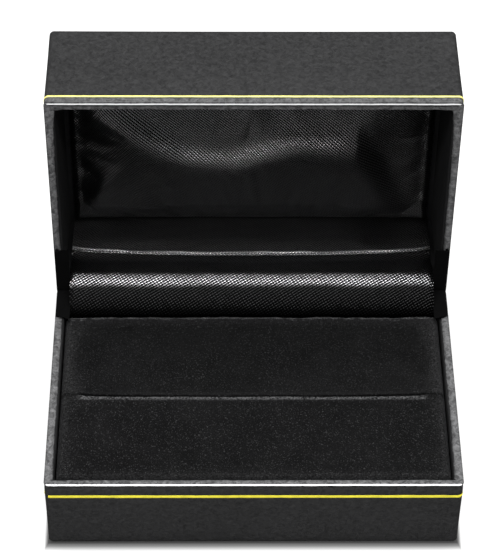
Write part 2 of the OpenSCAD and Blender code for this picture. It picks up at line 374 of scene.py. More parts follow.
def satin_material(name, twill_deg, pitch, thread):
    """Black satin; UVs are in millimetres, so the twill keeps its size.

    "folded" is 1 along the hem, a folded edge where a highlight is painted on the threads, and "shade" is 1
    where a painted shade keeps the threads black.
    """
    material, tree, shader = new_material(name)
    where = mapped(tree, (1, 1, 1), "UV", (0, 0, math.radians(twill_deg)))
    per_mm = math.pi / 10 / pitch                   # wave scale that repeats once each pitch
    lines = node(tree, "ShaderNodeTexWave", Scale=per_mm, Distortion=0.5,
                 wave_type="BANDS", bands_direction="Y", wave_profile="SIN")
    lines.inputs["Detail"].default_value = 1.0
    lines.inputs["Detail Scale"].default_value = 1.5
    floats = node(tree, "ShaderNodeTexWave", Scale=per_mm / 1.15, Distortion=1.2,
                  wave_type="BANDS", bands_direction="X", wave_profile="SIN")
    floats.inputs["Detail"].default_value = 1.0
    for wave in (lines, floats):
        tree.links.new(where, wave.inputs["Vector"])
    patches = noise_node(tree, where, Scale=1.1, Detail=3.0, Roughness=0.6)
    dots = math_node(tree, "MULTIPLY", lines.outputs["Fac"],
                     math_node(tree, "MULTIPLY_ADD", floats.outputs["Fac"], 0.6))
    weave = math_node(tree, "MULTIPLY", dots, math_node(tree, "ADD", patches, 0.45))
    colour = ramp(tree, weave, (0.24, grey(0.0015)), (0.62, (thread, thread, thread * 1.02)))
    # painted highlight on the threads of the hem
    bright = math_node(tree, "MULTIPLY", painted(tree, "folded"), math_node(tree, "MULTIPLY", weave, 3.2))
    colour = blend_colours(tree, bright, colour, (0.9, 0.9, 0.9, 1))
    # painted shade keeps the threads black where the shade attribute is set
    colour = blend_colours(tree, painted(tree, "shade"), colour, (0.001, 0.001, 0.001, 1))
    rough = ramp(tree, weave, (0.15, grey(0.45)), (0.55, grey(0.26)))
    set_surface(tree, shader, colour, rough, 0.15, 1.0, bump(tree, weave, 0.6, 0.00012))
    return material


def card_material(name, colour, roughness=0.85, specular=0.2):
    material, tree, shader = new_material(name)
    fibres = noise_node(tree, mapped(tree, (1, 1, 1)), Scale=900.0, Detail=5.0, Roughness=0.7)
    tint = ramp(tree, fibres, (0.3, tuple(c * 0.7 for c in colour)), (0.7, colour))
    set_surface(tree, shader, tint, roughness, specular, normal=bump(tree, fibres, 0.4, 0.0001))
    return material


def metal_material(name, colour, roughness, metallic=1.0):
    material, tree, shader = new_material(name)
    brushed = noise_node(tree, mapped(tree, (1, 18, 18)), Scale=260.0, Detail=4.0)
    tint = ramp(tree, brushed, (0.3, tuple(c * 0.8 for c in colour)), (0.7, colour))
    rough = ramp(tree, brushed, (0.3, grey(roughness * 0.8)), (0.7, grey(roughness * 1.2)))
    set_surface(tree, shader, tint, rough, metallic=metallic)
    return material


LEATHER = leather_material()
BASE_FOIL = foil_material("yellow foil", (0.98, 0.86, 0.05))
LID_FOIL = foil_material("pale foil", (0.95, 0.88, 0.25))
VELVET = velvet_material()
PANEL_SATIN = satin_material("lid satin", -40, 0.42, 0.45)
ROLL_SATIN = satin_material("hinge satin", 32, 0.5, 0.55)
CARD = card_material("black card", (0.009, 0.009, 0.0095))
TAPE = card_material("black cloth tape", (0.0022, 0.0022, 0.0023), 0.9, 0.05)
BOARD = card_material("grey board", (0.16, 0.15, 0.14))
PAPER = card_material("bottom paper", (0.018, 0.018, 0.019), 0.7)
BLACK_STEEL = metal_material("black steel", (0.012, 0.012, 0.013), 0.4, 0.0)
HINGE_STEEL = metal_material("hinge steel", (0.42, 0.42, 0.43), 0.32)
SPRING_STEEL = metal_material("spring steel", (0.35, 0.35, 0.37), 0.28)

# the CAD nodes that stay in sight; the others are replaced below
NODE_MATERIALS = {
    "base_shell": BLACK_STEEL, "lid_shell": BLACK_STEEL,
    "base_bottom_sheet": PAPER,
    "insert_board": BOARD, "lid_pad_board": CARD,
    "base_hinge_leaf": HINGE_STEEL, "lid_hinge_leaf": HINGE_STEEL,
    "base_hinge_rivets": HINGE_STEEL, "lid_hinge_rivets": HINGE_STEEL, "hinge_pin": HINGE_STEEL,
}
for name, material in NODE_MATERIALS.items():
    cad_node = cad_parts[name]
    cad_node.data.materials.clear()
    cad_node.data.materials.append(material)


# ---------------------------------------------------------------- leatherette

def roll_in(h):
    """How far the outer face leans in towards the rim, at distance h from it."""
    most, reach = 0.16, 2.4
    return most * max(0.0, 1 - h / reach) ** 2


def far_edge(is_lid, height):
    """Outer profile (inset, h) from the underside or top, round its edge, to just below the rim's bead."""
    r = 0.5 if is_lid else 0.25
    arc = [(FACE + r * (1 - math.sin(math.radians(a))), height - r * (1 - math.cos(math.radians(a))))
           for a in (0, 18, 36, 54, 72, 90)]
    wall = [(FACE, h) for h in (height - r - 1.5, height * 0.66, height * 0.45, height * 0.28, 3.4)]
    roll = [(FACE + roll_in(h), h) for h in (2.4, 2.0, 1.6, 1.2, 0.9)]
    return [(FLANGE, height)] + arc + wall + roll


def is_front_run(x, y):
    """True for the front wall's strip, which is folded over the side strips at the corners."""
    return abs(y) - (BOX_D / 2 - CORNER_R) > abs(x) - (BOX_W / 2 - CORNER_R)


def rim_profile(is_lid, x0, y0, seed, height):
    """The bead, rim and turned-in part as (inset, h, colour from rubbing with painted highlight, painted edge
    highlight, painted shadow beside the edge).
    """
    on_side = not is_front_run(x0, y0)
    from_front = y0 + BOX_D / 2
    from_side = BOX_W / 2 - abs(x0)
    along = x0 + 3 * y0
    rise = 0.05 * wobble(x0, y0, seed, 5.5) + 0.03 * wobble(x0, y0, seed + 3, 1.3)
    bead = 0.06 * wobble(along, seed, 8.0, 1.5) + 0.04 * wobble(along, seed, 11.0, 0.5)
    edge = 0.12 * wobble(along, seed, 2.0, 1.1) + 0.10 * wobble(along, seed, 5.0, 4.0)
    wide = 0.10
    if is_lid and on_side:
        wide = 0.85 * math.exp(-from_front / 5.0)
    elif is_lid:
        wide = 0.55 + 0.25 * math.exp(-from_side / 3.0)
    elif on_side:
        wide = 0.30 * math.exp(-from_front / 4.0) + 0.12
    down = 0.13 if on_side else 0.0
    # strength of the white highlight painted on the rim's edge
    painted_edge_highlight = 0.45 if on_side else 1.0
    inner = WALL_T + 0.05 + wide + edge
    # how dark the shadow painted under the bead is
    under = 0.9 + 0.4 * wobble(along, seed, 17.0, 2.0) if not on_side else 0.25
    # third number: colour from rubbing with a painted highlight; fourth: painted highlight on the edge; fifth:
    # painted shadow beside the edge
    if is_lid and not on_side:
        lip = [(0.26, 0.64, 0.5, 0.0, 0.0), (0.14, 0.50 + bead, 0.6, 0.0, 0.0),
               (0.06, 0.34 + bead, 0.7, 0.0, 0.0), (0.07, 0.18 + bead, 0.6, 0.0, 0.35),
               (0.18, 0.07 - rise, 0.5, 0.0, 0.35), (0.34, 0.04 - rise, 0.6, 1.0, 0.0),
               (0.58, 0.06 - rise, 0.8, 1.0, 0.0), (0.68, 0.09 - rise, 0.5, 0.3, 0.2),
               (0.74, 0.13 - rise, 0.2, 0.0, under), (0.92, 0.16 - rise, 0.2, 0.0, under),
               (1.06, 0.17 - rise, 0.8, 0.0, 0.2)]
    else:
        low = down - rise
        lip = [(0.26, 0.64, 0.0, 0.0, 0.2), (0.16, 0.50 + bead, 0.1, 0.0, under),
               (0.06, 0.34 + bead, 0.2, 0.0, under), (0.05, 0.26 + bead, 0.4, painted_edge_highlight * 0.5, 0.0),
               (0.06, 0.18 + bead, 0.5, painted_edge_highlight, 0.0), (0.14, 0.09 - rise, 0.6, painted_edge_highlight, 0.0),
               (0.24, 0.05 + low, 0.8, painted_edge_highlight * 0.9, 0.0), (0.36, 0.05 + low, 0.9, painted_edge_highlight * 0.3, 0.0),
               (0.60, 0.10 + low, 0.9, 0.0, 0.0), (0.80, 0.14 + low, 0.9, 0.0, 0.0),
               (0.95, 0.16 + low, 0.8, 0.0, 0.0)]
    return lip + [(inset, h, rub_and_lit, 0.0, 0.0) for inset, h, rub_and_lit in (
        (inner - 0.22, 0.20 + down - rise, 0.7), (inner - 0.07, 0.26 + down - rise * 0.5, 0.5),
        (inner, 0.38 + down, 0.3), (inner - 0.03, 0.50 + down, 0.1),
        (WALL_T + 0.04 + 0.3 * edge, 0.78, 0.0), (WALL_T + 0.03, 1.4, 0.0),
        (WALL_T + 0.01, 3.5, 0.0), (WALL_T, TURN_IN, 0.0),
        (WALL_T - SKIN_T, TURN_IN, 0.0), (WALL_T - SKIN_T, 1.5, 0.0), (WALL_T - SKIN_T, 0.42, 0.0),
        (SKIN_T, 0.42, 0.0), (SKIN_T, 1.5, 0.0), (SKIN_T, height - SKIN_T, 0.0),
        (FLANGE, height - SKIN_T, 0.0))]


def half_of_box(is_lid):
    """The skin's height, where its front piece stops, its direction from the rim, the rim's z, a noise seed."""
    return (LID_H, LID_STOP_Y, 1, LID_RIM_Z, 40) if is_lid else (BASE_SKIN_H, BASE_STOP_Y, -1, BASE_H, 10)


def wrap_front(name, is_lid):
    """The leatherette of the front and sides, turned in over the rim."""
    height, stop, sign, rim_z, seed = half_of_box(is_lid)
    stations = front_u(stop, 1.6)
    # painted highlight on the outer face just under the rim, strong on the lid and faint on the base
    band = 0.62 if is_lid else 0.06
    outer = [(s, h, band * (1 - float(smooth(1.2, 2.1, h))), 0.0, 0.0) for s, h in far_edge(is_lid, height)]
    rubbed_and_lit, painted_edge_highlight, bead_shadows = [], [], []

    def section(i):
        place = stations[i]
        x0, y0 = place(0.0)
        on_side = abs(x0) > BOX_W / 2 - 0.01
        sag = 0.10 * (1 - (x0 / (BOX_W / 2)) ** 2) if not on_side else 0.0
        points = []
        # wear carries the white highlight painted on the rims' edge, and the last number the painted shadow
        # beside it
        for k, (s, h, rub_and_lit, wear, bead_shadow) in enumerate(outer + rim_profile(is_lid, x0, y0, seed, height)):
            if k < len(outer) and h < height - 2:
                s = s + 0.03 * wobble(x0, y0, h + seed, 6.0) + 0.03
            if is_lid and s < 0.9 and h > height - 1.2 and not on_side:
                h = h - sag
            x, y = place(s)
            if on_side and y > stop - 1.6 and s > 0.5 and h < 3:
                y += (y - (stop - 1.6)) * (0.5 * wobble(s * 3, h, seed, 0.7) + 0.35 * (s - 1.0))
            points.append((x, y, rim_z + sign * h))
            rubbed_and_lit.append(rub_and_lit)
            painted_edge_highlight.append(wear)
            bead_shadows.append(bead_shadow)
        return points

    verts, faces = loft(stations, section)
    obj = new_object(name, verts, faces, LEATHER)
    # painted highlight on the rubbed rims, the painted highlight on the rims' edge and the painted shadow
    # beside it
    paint(obj, "rim", rubbed_and_lit)
    paint(obj, "painted_edge_highlight", painted_edge_highlight)
    paint(obj, "bead_shadow", bead_shadows)
    tidy_normals(obj)
    return obj


def wrap_back(name, is_lid):
    """The single skin of leatherette round the back, whose top follows the bevel for the hinge."""
    height, stop, sign, rim_z, seed = half_of_box(is_lid)
    stations = back_u(stop)
    outer = far_edge(is_lid, height)
    top = [(0.26, 0.64), (0.14, 0.50), (0.05, 0.36), (0.06, 0.20), (0.16, 0.12), (0.34, 0.30)]
    inner = [(SKIN_T, 1.5), (SKIN_T, height - SKIN_T), (FLANGE, height - SKIN_T)]
    gap = RIM_GAP / 2

    def section(i):
        place = stations[i]
        x0, y0 = place(0.0)
        points = []
        for k, (s, h) in enumerate(outer + top + inner):
            if k < len(outer) and h < height - 2:
                s = s + (0.03 * wobble(x0, y0, h + seed, 6.0) + 0.03) * (1 - smooth(HINGE_Y - 2, HINGE_Y, y0))
            x, y = place(s)
            limit = max(0.0, (y - HINGE_Y) * BEVEL - gap) + 0.05
            if h < height - 2:
                h = limit + h * (1 - limit / (height - 2)) if y > HINGE_Y - 0.5 else h
            points.append((x, y, rim_z + sign * h))
        return points

    verts, faces = loft(stations, section)
    obj = new_object(name, verts, faces, LEATHER)
    tidy_normals(obj)
    return obj


def lid_top_plate():
    """The leatherette's flat middle on the lid's top."""
    w, d = BOX_W / 2 - FLANGE, BOX_D / 2 - FLANGE
    nx, ny = 36, 20
    verts = [(lerp(-w, w, i / nx), lerp(-d, d, j / ny), z)
             for z in (LID_RIM_Z + LID_H - SKIN_T, LID_RIM_Z + LID_H)
             for j in range(ny + 1) for i in range(nx + 1)]
    obj = new_object("lid_leather_top", verts, slab_faces(nx, ny)[0], LEATHER)
    tidy_normals(obj)
    return obj


base_leather = wrap_front("base_leather", False)
base_leather_back = wrap_back("base_leather_back", False)
lid_leather = wrap_front("lid_leather", True)
lid_leather_back = wrap_back("lid_leather_back", True)
lid_leather_top = lid_top_plate()
for piece in (lid_leather, lid_leather_back, lid_leather_top):
    swing_open(piece)
    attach(piece, "lid")
for piece in (base_leather, base_leather_back):
    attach(piece, "base")
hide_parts("base_wrap")
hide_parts("lid_wrap")


# ---------------------------------------------------------------- foil lines

def foil_band(name, z, width, material, seed, skipped):
    """Thin pressed band of foil round the front and sides."""
    stop = BOX_D / 2 - CORNER_R
    stations = front_u(stop)

    def section(i):
        x0, y0 = stations[i](0.0)
        upper = z + width / 2 + 0.05 * wobble(x0, y0, seed, 1.6) + 0.02 * wobble(x0, y0, seed, 0.5)
        lower = z - width / 2 + 0.05 * wobble(x0, y0, seed + 7, 1.9)
        middle = (upper + lower) / 2
        ring = [(0.09, upper), (0.02, upper - 0.05), (0.0, middle), (0.02, lower + 0.05), (0.09, lower),
                (0.16, middle)]
        return [(*stations[i](s), height) for s, height in ring]

    side_count = 45
    begin = side_count - 1 + skipped
    verts, faces = loft(stations[:side_count], section)
    more_verts, more_faces = loft(stations[begin:], lambda i: section(i + begin))
    faces += [tuple(v + len(verts) for v in face) for face in more_faces]
    obj = new_object(name, verts + more_verts, faces, material)
    tidy_normals(obj, 60)
    return obj


base_foil = foil_band("base_foil_line", BASE_H - 3.36, 0.7, BASE_FOIL, 3, 5)
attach(base_foil, "base")
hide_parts("base_gold_line")
lid_foil = foil_band("lid_foil_line", LID_RIM_Z + 1.85, 0.42, LID_FOIL, 23, 1)
swing_open(lid_foil)
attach(lid_foil, "lid")
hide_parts("lid_gold_line")


# ---------------------------------------------------------------- card linings

def lining(name, is_lid):
    """Black card strips inside the front and sides, with a hand-cut upper edge."""
    inner_s, outer_s = WALL_T + 0.5, WALL_T + 0.04
    stop = BOX_D / 2 - inner_s
    rim_z = LID_RIM_Z if is_lid else BASE_H
    sign = 1 if is_lid else -1
    depth = LID_H - 1.0 if is_lid else BASE_H - 1.3
    seed = 70 if is_lid else 60
    stations = front_u(stop)

    def section(i):
        x0, y0 = stations[i](0.0)
        top = 0.55 + 0.18 * wobble(x0, y0, seed, 3.0) + 0.08 * wobble(x0, y0, seed, 0.8)
        gap = max(0.0, (y0 - HINGE_Y) * BEVEL - RIM_GAP / 2)
        top += gap + 1.2 * float(smooth(stop - 2.5, stop, y0)) ** 2
        bulge = 0.06 * wobble(x0, y0, seed + 5, 4.0)
        face_s = inner_s + bulge
        ring = [(outer_s, top + 0.05), (lerp(outer_s, inner_s, 0.4), top), (inner_s - 0.06 + bulge, top + 0.06),
                (face_s, top + 0.22), (face_s, top + 2.5), (inner_s, depth * 0.5),
                (inner_s, depth), (outer_s, depth), (outer_s, top + 2.5)]
        return [(*stations[i](s), rim_z + sign * h) for s, h in ring]

    verts, faces = loft(stations, section)
    obj = new_object(name, verts, faces, CARD)
    tidy_normals(obj)
    return obj


base_lining = lining("base_lining", False)
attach(base_lining, "base")
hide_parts("base_liner")
lid_lining = lining("lid_lining", True)
swing_open(lid_lining)
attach(lid_lining, "lid")
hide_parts("lid_liner")


# ---------------------------------------------------------------- velvet ring pad

PAD_W, PAD_FRONT_Y, PAD_BACK_Y = 71.8, -22.4, HINGE_Y - 5.3
PAD_TOP_Z, PAD_BASE_Z = BASE_H - 0.9, 10.0
SLOT_Y, SLOT_W, SLOT_GAP, SLOT_DEPTH = -2.2, 65.0, 0.4, 5.0


def ring_pad():
    """Velvet over two blocks; the cloth dives into the slot between them."""
    lip = 0.45
    y_front_lip, y_rear_lip = SLOT_Y - SLOT_GAP / 2, SLOT_Y + SLOT_GAP / 2
    profile = []                                    # (kind, y, share of the height or angle of the arc)
    for z in (0.0, 0.4, 0.75):
        profile.append(("edge", PAD_FRONT_Y, z))
    for a in range(0, 91, 15):
        profile.append(("edge_arc", PAD_FRONT_Y, math.radians(a)))
    for y in np.linspace(PAD_FRONT_Y + 1.1, y_front_lip - lip, 44):
        profile.append(("top", float(y), 0))
    for a in range(15, 91, 15):
        profile.append(("lip_front", y_front_lip, math.radians(a)))
    for t in (0.2, 0.45, 0.7, 0.92):
        profile.append(("wall_front", y_front_lip, t))
    profile.append(("floor", SLOT_Y, 1.0))
    for t in (0.92, 0.7, 0.45, 0.2):
        profile.append(("wall_rear", y_rear_lip, t))
    for a in range(90, 14, -15):
        profile.append(("lip_rear", y_rear_lip, math.radians(a)))
    for y in np.linspace(y_rear_lip + lip, PAD_BACK_Y - 1.1, 46):
        profile.append(("top", float(y), 0))
    for a in range(90, -1, -15):
        profile.append(("edge_arc_back", PAD_BACK_Y, math.radians(a)))
    for z in (0.75, 0.4, 0.0):
        profile.append(("edge", PAD_BACK_Y, z))

    def hollow(x, y):
        """1 inside the hollow that wear has left behind the slot, 0 outside it."""
        half_width, back, soft_edge = 34.2, 16.2, 1.4
        end = half_width - 2.4 * ((y - 6.5) / 9.0) ** 2
        behind_slot = smooth(SLOT_Y + 0.4, SLOT_Y + 0.9, y)
        return float(smooth(0.0, soft_edge, end - abs(x)) * smooth(0.0, soft_edge, back - y) * behind_slot)

    def surface(x, y):
        """Height of the velvet's top, before the edges and the slot."""
        side = PAD_W / 2 - abs(x)
        z = PAD_TOP_Z
        z -= 0.55 * hollow(x, y)
        z += 0.10 * wobble(x, y, 0, 9.0) + 0.035 * wobble(x, y, 3, 2.4) + 0.02 * wobble(x, y, 5, 0.9)
        z += 0.10 * math.exp(-((y - SLOT_Y + 1.3) / 0.9) ** 2) * smooth(0, 2, SLOT_W / 2 - abs(x))
        z -= 0.9 * (1 - smooth(0.0, 1.0, side)) ** 2
        return float(z)

    half = PAD_W / 2
    xs = list(np.linspace(-half, 1.4 - half, 8)) + list(np.linspace(1.8 - half, half - 1.8, 150))
    xs += list(np.linspace(half - 1.4, half, 8))
    verts, uvs, brushed = [], [], []
    edge_r = 1.0
    for x in xs:
        open_share = float(smooth(0.0, 1.6, SLOT_W / 2 - abs(x)))
        depth = lerp(0.12, SLOT_DEPTH, open_share)
        bow = 0.35 * (1 - (x / (SLOT_W / 2)) ** 2) if abs(x) < SLOT_W / 2 else 0.0
        snag = 0.10 * wobble(x, 0, 9, 1.1) + 0.12 * wobble(x, 0, 13, 4.0)
        for kind, y, t in profile:
            if kind == "edge":
                point_y, z = y + 0.08 * wobble(x, y, t, 3.0), lerp(PAD_BASE_Z, PAD_TOP_Z - edge_r, t)
            elif kind in ("edge_arc", "edge_arc_back"):
                inward = 1 if kind == "edge_arc" else -1
                point_y = y + inward * edge_r * (1 - math.cos(t))
                if inward < 0:
                    worn_back = 0.25 + 0.5 * wobble(x, 0, 25, 6.0) + 0.25 * wobble(x, 0, 27, 1.1)
                    point_y -= max(0.0, worn_back) * math.sin(t)
                z = surface(x, point_y) - edge_r * (1 - math.sin(t))
            elif kind == "top":
                point_y, z = y, surface(x, y)
            else:
                shift = -bow + snag
                front = kind.endswith("front")
                sign = 1 if front else -1
                if kind.startswith("lip"):
                    point_y = y - sign * lip * (1 - math.sin(t)) * open_share
                    z = surface(x, point_y - sign * 0.1) - lip * (1 - math.cos(t)) * open_share
                elif kind == "floor":
                    point_y, z = y, PAD_TOP_Z - depth
                    z = min(z, surface(x, point_y) - 0.1)
                else:
                    point_y = y
                    z = lerp(surface(x, point_y) - lip * open_share, PAD_TOP_Z - depth, t * open_share)
                point_y += shift
            verts.append((x, point_y, z))
            uvs.append((x, y))
            # painted sheen: on the slot's front lip, the pad's edges, and the top behind the slot outside the
            # hollow, which so looks darker
            lit, beside_slot = 0.0, float(smooth(SLOT_W / 2 + 0.6, SLOT_W / 2 - 1.0, abs(x)))
            if kind == "lip_front":
                lit = beside_slot * 0.25
            elif kind == "edge_arc_back":
                lit = 0.22 + 0.35 * wobble(x, 0, 21, 1.4)
            elif kind == "edge_arc":
                lit = 0.03
            elif kind == "top":
                from_side, from_front = half - abs(x), y - PAD_FRONT_Y
                lit = 0.05 * math.exp(-max(0.0, from_side - 0.8) / 1.1)
                lit += 0.05 * math.exp(-(from_front - 1.0) / 0.5)
                if y > SLOT_Y:
                    lit += 0.022 * (1 - hollow(x, y))
                else:
                    lit += 0.42 * math.exp(-((y - y_front_lip + lip + 0.2) / 0.35) ** 2) * beside_slot
            brushed.append(max(0.0, min(1.0, lit)))
    n = len(profile)
    faces = []
    for i in range(len(xs) - 1):
        for j in range(n - 1):
            a = i * n + j
            faces.append((a, a + 1, a + n + 1, a + n))
        faces.append((i * n + n - 1, i * n, (i + 1) * n, (i + 1) * n + n - 1))
    faces.append(tuple(range(n)))
    faces.append(tuple((len(xs) - 1) * n + j for j in range(n - 1, -1, -1)))
    obj = new_object("ring_pad", verts, faces, VELVET, uvs)
    paint(obj, "brushed", brushed)
    tidy_normals(obj, 75)
    return obj


ring_pad_piece = ring_pad()
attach(ring_pad_piece, "base")
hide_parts("ring_pad_velvet", "front_pad_foam", "rear_pad_foam")


# ---------------------------------------------------------------- satin in the lid

CUSHION_W = 70.6
CUSHION_Z = LID_RIM_Z + LID_H - 0.95 - 0.8
CUSHION_RISE = 5.0
CUSHION_FRONT_Y, CUSHION_BACK_Y = -21.8, HINGE_Y - 2.05
HEM_Z = LID_RIM_Z + 9.0


def cushion_grid(nx, ny):
    """Flat outline of the cushion as a closed slab: upper grid free, lower grid fixed."""
    verts, uvs = [], []
    for layer in (0, 1):
        for j in range(ny + 1):
            for i in range(nx + 1):
                u, v = i / nx, j / ny
                x = lerp(-CUSHION_W / 2 + 0.15, CUSHION_W / 2 - 0.15, u)
                y = lerp(CUSHION_FRONT_Y + 0.15, CUSHION_BACK_Y - 0.1, v)
                edge = min(u, 1 - u) * CUSHION_W, min(v, 1 - v) * (CUSHION_BACK_Y - CUSHION_FRONT_Y)
                lift = min(1.0, min(edge) / 1.6) ** 0.5
                z = CUSHION_Z - 0.05 - layer * (0.5 + 1.6 * lift)
                verts.append((x, y, z))
                uvs.append((x, y))
    faces, layer, rim = slab_faces(nx, ny)
    return verts, faces, uvs, layer, rim


def puff(obj, pinned, frames, cap):
    """Inflates a closed mesh as cloth, ten times its size, and keeps the result."""
    big = 10.0
    rest = np.array([v.co[:] for v in obj.data.vertices])
    obj.data.transform(Matrix.Scale(big, 4))
    group = obj.vertex_groups.new(name="pin")
    group.add(pinned, 1.0, "REPLACE")
    cloth = obj.modifiers.new("cloth", "CLOTH")
    settings = cloth.settings
    settings.vertex_group_mass = "pin"
    settings.quality = 6
    settings.mass = 0.25
    settings.tension_stiffness = 18
    settings.compression_stiffness = 18
    settings.shear_stiffness = 6
    settings.bending_stiffness = 0.35
    settings.use_pressure = True
    settings.uniform_pressure_force = 4.0
    settings.shrink_min = -0.035
    settings.effector_weights.gravity = 0.0
    cloth.collision_settings.use_collision = False
    cloth.collision_settings.use_self_collision = False
    scene = bpy.context.scene
    cloth.point_cache.frame_start, cloth.point_cache.frame_end = 1, frames
    for frame_number in range(1, frames + 1):
        scene.frame_set(frame_number)
    graph = bpy.context.evaluated_depsgraph_get()
    shaped = obj.evaluated_get(graph)
    moved = np.array([v.co[:] for v in shaped.data.vertices]) / big
    obj.modifiers.remove(cloth)
    scene.frame_set(1)
    step = moved - rest
    far = np.linalg.norm(step, axis=1, keepdims=True)
    step *= np.minimum(1.0, cap / np.maximum(far, 1e-9))
    obj.data.vertices.foreach_set("co", (rest + step).astype(np.float32).ravel())
    obj.data.update()


def satin_cushion():
    nx, ny = ((118, 72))
    verts, faces, uvs, layer, rim = cushion_grid(nx, ny)
    obj = new_object("lid_cushion", verts, faces, PANEL_SATIN, uvs)
    bm = bmesh.new()
    bm.from_mesh(obj.data)
    bmesh.ops.recalc_face_normals(bm, faces=bm.faces)
    bm.to_mesh(obj.data)
    bm.free()
    pinned = list(range(layer)) + [layer + a for a in rim]
    puff(obj, pinned, 24, 0.006)
    co = np.array([v.co[:] for v in obj.data.vertices]) / MM
    rise = CUSHION_Z - co[:, 2]
    seam, most = 0.6, CUSHION_RISE - 0.1            # the part above the seam is scaled to the room it has
    if rise.max() > most:
        scaled = CUSHION_Z - seam - (rise - seam) * (most - seam) / (rise.max() - seam)
        co[:, 2] = np.where(rise > seam, scaled, co[:, 2])
    x, y = co[:, 0], co[:, 1]
    from_side = CUSHION_W / 2 - np.abs(x)
    free = np.arange(len(co)) >= layer
    # ridges where the cloth is pulled over the board's side edges
    ridge_x, ridge_half, ridge_h = 34.2, 0.45, 0.55
    ridge = ridge_h * np.exp(-((np.abs(x) - ridge_x) / ridge_half) ** 2)
    # a full lower half under a soft shoulder that dips between the corners, and a fold in one lower corner
    shoulder = np.interp(x, (-36, -25.4, -13.7, -4.3, 8.9, 20.2, 30.6, 36),
                         (-13.2, -8.0, 0.4, 1.7, -3.5, -2.2, 17.5, 22.8))
    inside = smooth(0, 11, from_side) * smooth(0, 6, 20.5 - y) * smooth(0, 8, y - CUSHION_FRONT_Y)
    spread = 3.0 + 3.6 * smooth(16, 25, x)
    full = (2.3 * smooth(-1.0, 1.0, (y - shoulder) / spread) - 1.1) * inside
    along, across = (x + 29.5) * 0.5 + (y - 10.8) * -0.87, (x + 29.5) * 0.87 + (y - 10.8) * 0.5
    fold = 1.0 * np.exp(-(across / 1.6) ** 2 - (along / 5.5) ** 2) * smooth(0, 3, from_side)
    co[:, 2] = np.where(free, co[:, 2] - ridge - full - fold, co[:, 2])
    co[:, 0] = np.clip(co[:, 0], -CUSHION_W / 2, CUSHION_W / 2)
    co[:, 1] = np.clip(co[:, 1], CUSHION_FRONT_Y, CUSHION_BACK_Y)
    obj.data.vertices.foreach_set("co", (co * MM).astype(np.float32).ravel())
    obj.data.update()
    # painted shade: darker below the shoulder and a little well above it, less towards the sides
    beyond = y - shoulder
    shade = 0.55 * smooth(0.5, 5.5, beyond) + 0.15 * smooth(-2.5, -7.0, beyond)
    paint(obj, "shade", np.clip(shade - 0.25 * smooth(24, 33, np.abs(x)), 0, 1))
    bpy.context.view_layer.objects.active = obj
    smoother = obj.modifiers.new("finer", "SUBSURF")
    smoother.levels = smoother.render_levels = 1
    for polygon in obj.data.polygons:
        polygon.use_smooth = True
    swing_open(obj)
    return obj


lid_cushion = satin_cushion()
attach(lid_cushion, "lid")
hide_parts("lid_satin_pad", "lid_pad_wadding")


def satin_flap():
    """Satin floor of the lid; its free edge is folded into a hem that bows over the hinge."""
    nx, ny = 150, 40
    y0 = CUSHION_BACK_Y
    verts, uvs, profile = [], [], []
    length = CUSHION_Z - HEM_Z
    for j in range(ny + 1):
        profile.append((0.06, length * (1 - j / ny), length * (1 - j / ny)))
    for k, a in enumerate(range(20, 341, 20)):
        t = math.radians(a)
        out = 0.06 + 0.19 * (1 - math.cos(t)) + 0.1 * math.sin(t)
        profile.append((out, -0.36 * math.sin(t / 2) ** 1.2, -0.12 * k))
    for j in range(1, 7):
        profile.append((0.36, 0.45 * j, -1.9 - 0.45 * j))
    for i in range(nx + 1):
        x = lerp(-CUSHION_W / 2, CUSHION_W / 2, i / nx)
        share = abs(x) / (CUSHION_W / 2)
        bow = 0.25 - 1.25 * share ** 2.6 - 0.35 * float(smooth(0.93, 1.0, share))
        for dy, dz, v in profile:
            near = float(smooth(9.0, 0.0, dz))
            ripple = 0.10 * wobble(x, dz, 31, 3.0) + 0.16 * wobble(x, dz * 0.4, 33, 7.0)
            y = y0 + dy + near * 0.12 * (1 + wobble(x, dz, 35, 5.0)) - ripple * near
            z = HEM_Z + dz - near * bow + 0.05 * wobble(x, 0, 37, 1.2) * near
            verts.append((x, min(y, HINGE_Y - 1.55), z))
            uvs.append((x, v))
    n = len(profile)
    obj = new_object("lid_flap", verts, strip_faces(nx, n), PANEL_SATIN, uvs)
    # painted shade, darker away from the hem
    paint(obj, "shade", [0.50 * float(smooth(0.6, 5.0, profile[k % n][1])) for k in range(len(verts))])
    # painted highlight along the hem
    paint(obj, "folded", [1.0 if ny - 1 <= k % n <= ny + 8 else 0.0 for k in range(len(verts))])
    obj.data.shade_smooth()
    swing_open(obj)
    return obj


lid_flap = satin_flap()
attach(lid_flap, "lid")
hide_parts("lid_satin_flap")


# ---------------------------------------------------------------- satin roll over the hinge

